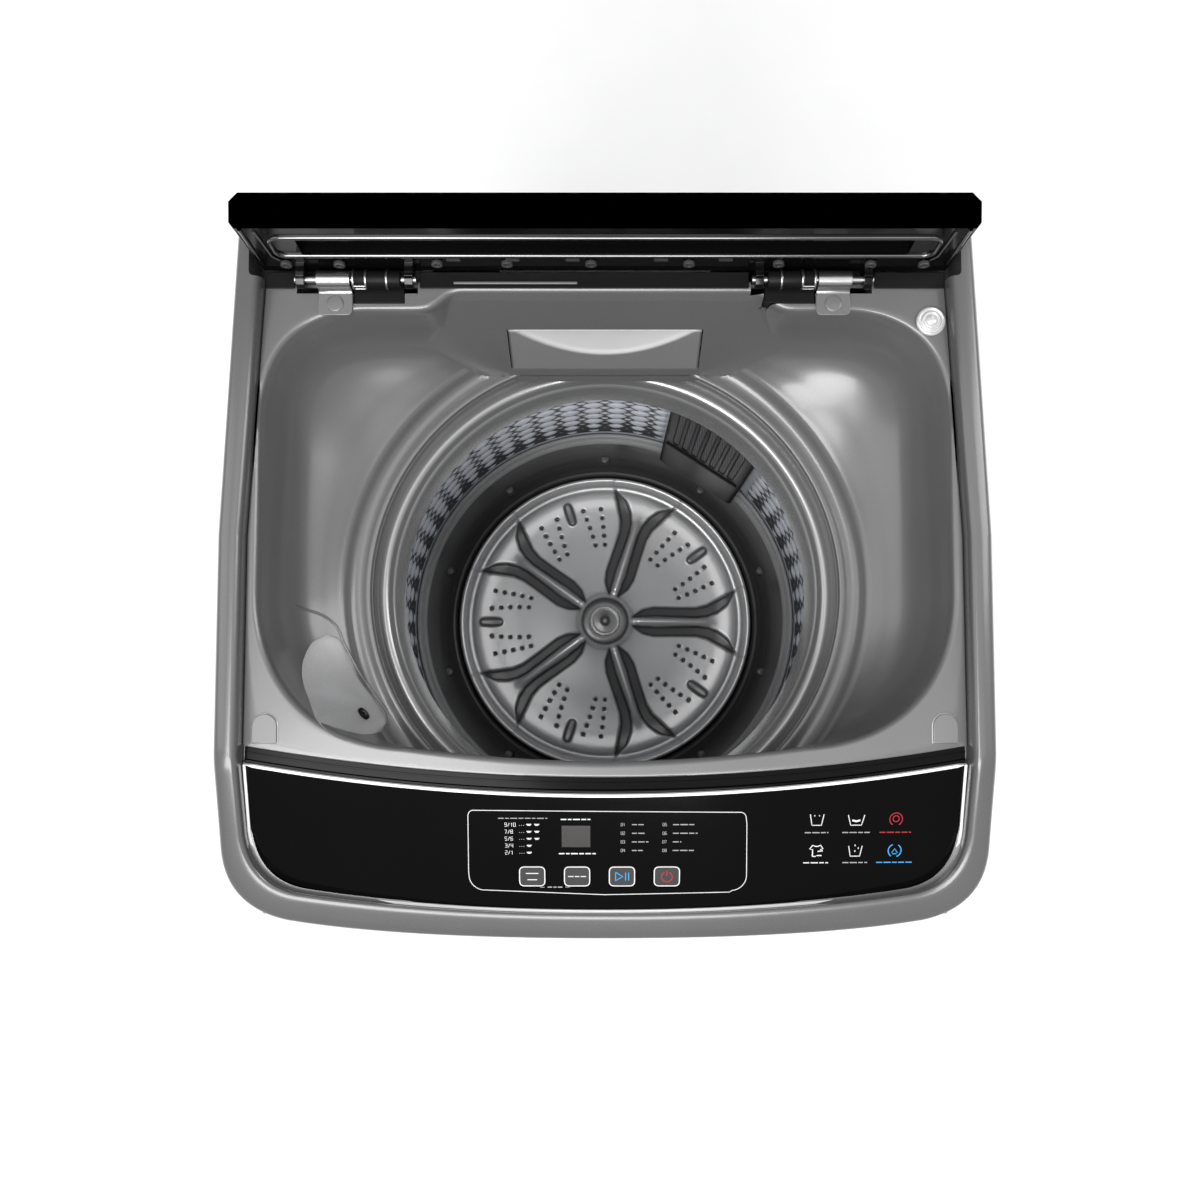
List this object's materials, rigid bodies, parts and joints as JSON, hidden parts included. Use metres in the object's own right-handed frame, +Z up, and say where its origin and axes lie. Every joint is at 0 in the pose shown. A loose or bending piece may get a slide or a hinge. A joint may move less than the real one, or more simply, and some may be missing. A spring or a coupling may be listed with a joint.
{
  "type": "top load washing machine",
  "caption": "Top load washing machine with open lid, tilted control panel, detergent drawer, spring-hung tub, perforated basket, ribbed pulsator and belt drive.",
  "frame": {"origin": "on the floor under the middle of the machine, lid open", "axes": "+Z up, the control panel faces -Y, +X to the right seen from the front"},
  "size_m": [0.55, 0.542, 1.2784],
  "materials": {
    "cabinet_paint": "satin",
    "galvanised_steel": "satin",
    "black_plastic": "matte",
    "rubber": "matte",
    "cover_plastic": "satin metallic",
    "deck_plastic": "satin metallic",
    "silver_plastic": "gloss metallic",
    "grey_plastic": "satin",
    "chrome": "polished",
    "hinge_steel": "satin",
    "console_gloss": "high gloss",
    "button_plastic": "satin",
    "circuit_board": "satin",
    "white_plastic": "satin",
    "tub_plastic": "satin",
    "cast_aluminium": "as cast",
    "motor_steel": "satin",
    "hose_rubber": "matte",
    "zinc_steel": "bright",
    "stainless_steel": "bright",
    "charcoal_plastic": "satin",
    "ring_plastic": "satin",
    "pulsator_silver": "bright metallic",
    "lid_gloss": "high gloss",
    "smoked_glass": "polished"
  },
  "bodies": {
    "cabinet": {"cabinet_wrapper": "cabinet_paint", "rear_panel": "galvanised_steel", "base_frame": "black_plastic", "top_cover": "cover_plastic", "deck_bowl": "deck_plastic", "softener_cover": "silver_plastic", "softener_screw": "black_plastic", "bumper_left": "grey_plastic", "bumper_right": "grey_plastic", "spirit_level": "chrome", "hinge_strap_left": "hinge_steel", "hinge_strap_right": "hinge_steel", "hinge_damper_left": "black_plastic", "hinge_damper_right": "black_plastic", "console_panel": "console_gloss", "console_trim": "chrome", "control_board": "circuit_board", "inlet_box": "white_plastic", "inlet_valve": "white_plastic", "drain_outlet": "black_plastic", "cord_gland": "black_plastic", "pressure_switch": "white_plastic", "suspension_rod_front_left": "zinc_steel", "suspension_rod_front_right": "zinc_steel", "suspension_rod_rear_left": "zinc_steel", "suspension_rod_rear_right": "zinc_steel"},
    "foot_left": {"foot_front_left": "rubber"},
    "foot_right": {"foot_front_right": "rubber"},
    "button_1": {"button_water_level": "button_plastic"},
    "button_2": {"button_program": "button_plastic"},
    "button_3": {"button_start_pause": "button_plastic"},
    "button_4": {"button_power": "button_plastic"},
    "drawer": {"detergent_drawer": "deck_plastic"},
    "lid": {"lid_frame": "lid_gloss", "lid_window": "smoked_glass", "lid_pin_left": "hinge_steel", "lid_pin_right": "hinge_steel"},
    "tub": {"outer_tub": "tub_plastic", "tub_ring_cover": "tub_plastic", "gearbox": "cast_aluminium", "drive_bracket": "galvanised_steel", "motor": "motor_steel", "drive_belt": "rubber", "drain_valve": "white_plastic", "drain_hose": "hose_rubber", "air_hose": "hose_rubber", "suspension_spring_front_left": "zinc_steel", "suspension_spring_front_right": "zinc_steel", "suspension_spring_rear_left": "zinc_steel", "suspension_spring_rear_right": "zinc_steel"},
    "basket": {"basket_wall": "stainless_steel", "basket_floor": "charcoal_plastic", "basket_hub": "cast_aluminium", "balance_ring": "ring_plastic"},
    "filter": {"lint_filter": "charcoal_plastic"},
    "pulsator": {"pulsator": "pulsator_silver", "pulsator_cap": "pulsator_silver", "pulsator_shaft": "stainless_steel"},
    "drive_pulley": {"drive_pulley": "cast_aluminium"},
    "motor_rotor": {"motor_pulley": "cast_aluminium"}
  },
  "joints": [
    {"name": "lid_hinge", "type": "hinge", "parent": "cabinet", "child": "lid", "pos_m": [0, 0.206, 0.912], "axis": [1, 0, 0], "range_deg": [0, 95]},
    {"name": "drawer_slide", "type": "slide", "parent": "cabinet", "child": "drawer", "axis": [0, -1, 0], "range_m": [0, 0.08]},
    {"name": "button_water_level_press", "type": "slide", "parent": "cabinet", "child": "button_1", "axis": [0, 0.342, -0.9397], "range_m": [0, 0.0012], "stiffness_N_per_m": 600, "springref_m": -0.0004},
    {"name": "button_program_press", "type": "slide", "parent": "cabinet", "child": "button_2", "axis": [0, 0.342, -0.9397], "range_m": [0, 0.0012], "stiffness_N_per_m": 600, "springref_m": -0.0004},
    {"name": "button_start_pause_press", "type": "slide", "parent": "cabinet", "child": "button_3", "axis": [0, 0.342, -0.9397], "range_m": [0, 0.0012], "stiffness_N_per_m": 600, "springref_m": -0.0004},
    {"name": "button_power_press", "type": "slide", "parent": "cabinet", "child": "button_4", "axis": [0, 0.342, -0.9397], "range_m": [0, 0.0012], "stiffness_N_per_m": 600, "springref_m": -0.0004},
    {"name": "tub_suspension", "type": "slide", "parent": "cabinet", "child": "tub", "axis": [0, 0, 1], "range_m": [-0.02, 0.006], "stiffness_N_per_m": 12000, "springref_m": 0.02399, "deforming": ["suspension_spring_front_left", "suspension_spring_front_right", "suspension_spring_rear_left", "suspension_spring_rear_right", "drain_hose", "air_hose"]},
    {"name": "basket_spin", "type": "hinge", "parent": "tub", "child": "basket", "pos_m": [0, -0.01, 0.3], "axis": [0, 0, 1], "continuous": true},
    {"name": "pulsator_spin", "type": "hinge", "parent": "tub", "child": "pulsator", "pos_m": [0, -0.01, 0.33], "axis": [0, 0, 1], "continuous": true},
    {"name": "drive_pulley_spin", "type": "hinge", "parent": "tub", "child": "drive_pulley", "pos_m": [0, -0.01, 0.11], "axis": [0, 0, 1], "continuous": true},
    {"name": "motor_spin", "type": "hinge", "parent": "tub", "child": "motor_rotor", "pos_m": [0.15, -0.01, 0.11], "axis": [0, 0, 1], "continuous": true},
    {"name": "lint_filter_unclip", "type": "slide", "parent": "basket", "child": "filter", "axis": [-0.5446, -0.8387, 0], "range_m": [0, 0.04]},
    {"name": "foot_left_thread", "type": "slide", "parent": "cabinet", "child": "foot_left", "axis": [0, 0, -1], "range_m": [0, 0.012]},
    {"name": "foot_right_thread", "type": "slide", "parent": "cabinet", "child": "foot_right", "axis": [0, 0, -1], "range_m": [0, 0.012]}
  ],
  "couplings": [
    {"joint": "drive_pulley_spin", "follows": "pulsator_spin", "ratio": 5},
    {"joint": "motor_spin", "follows": "pulsator_spin", "ratio": 15.929}
  ]
}
